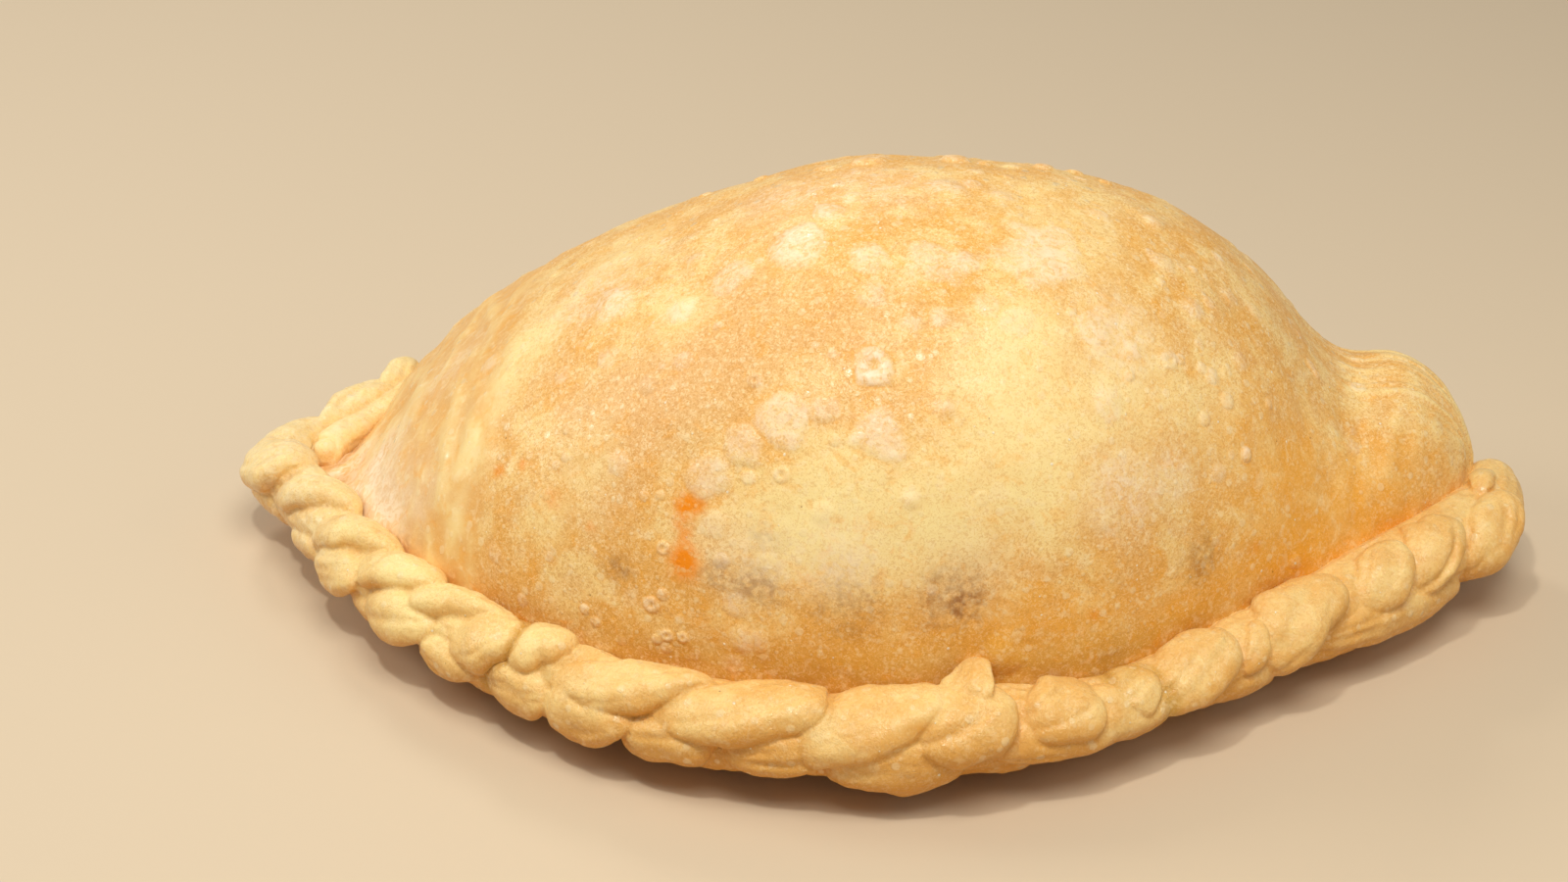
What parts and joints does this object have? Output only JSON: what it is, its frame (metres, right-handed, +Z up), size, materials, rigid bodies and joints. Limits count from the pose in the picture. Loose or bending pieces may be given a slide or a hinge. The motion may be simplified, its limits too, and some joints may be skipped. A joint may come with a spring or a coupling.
{
  "type": "fried calzone",
  "caption": "Puffed half moon of fried dough, domed and blistered, with its curved edge folded into a rope.",
  "frame": {"origin": "under the middle of the bounding box, on the surface that the belly rests on", "axes": "+X along the half moon from its left corner to its right corner, +Z up, the rope at the front towards -Y and the fold at the back towards +Y"},
  "size_m": [0.258, 0.1426, 0.087],
  "materials": {
    "crust": "pale golden fried dough with a thin film of oil"
  },
  "bodies": {
    "root": {"dough": "crust"}
  },
  "joints": []
}
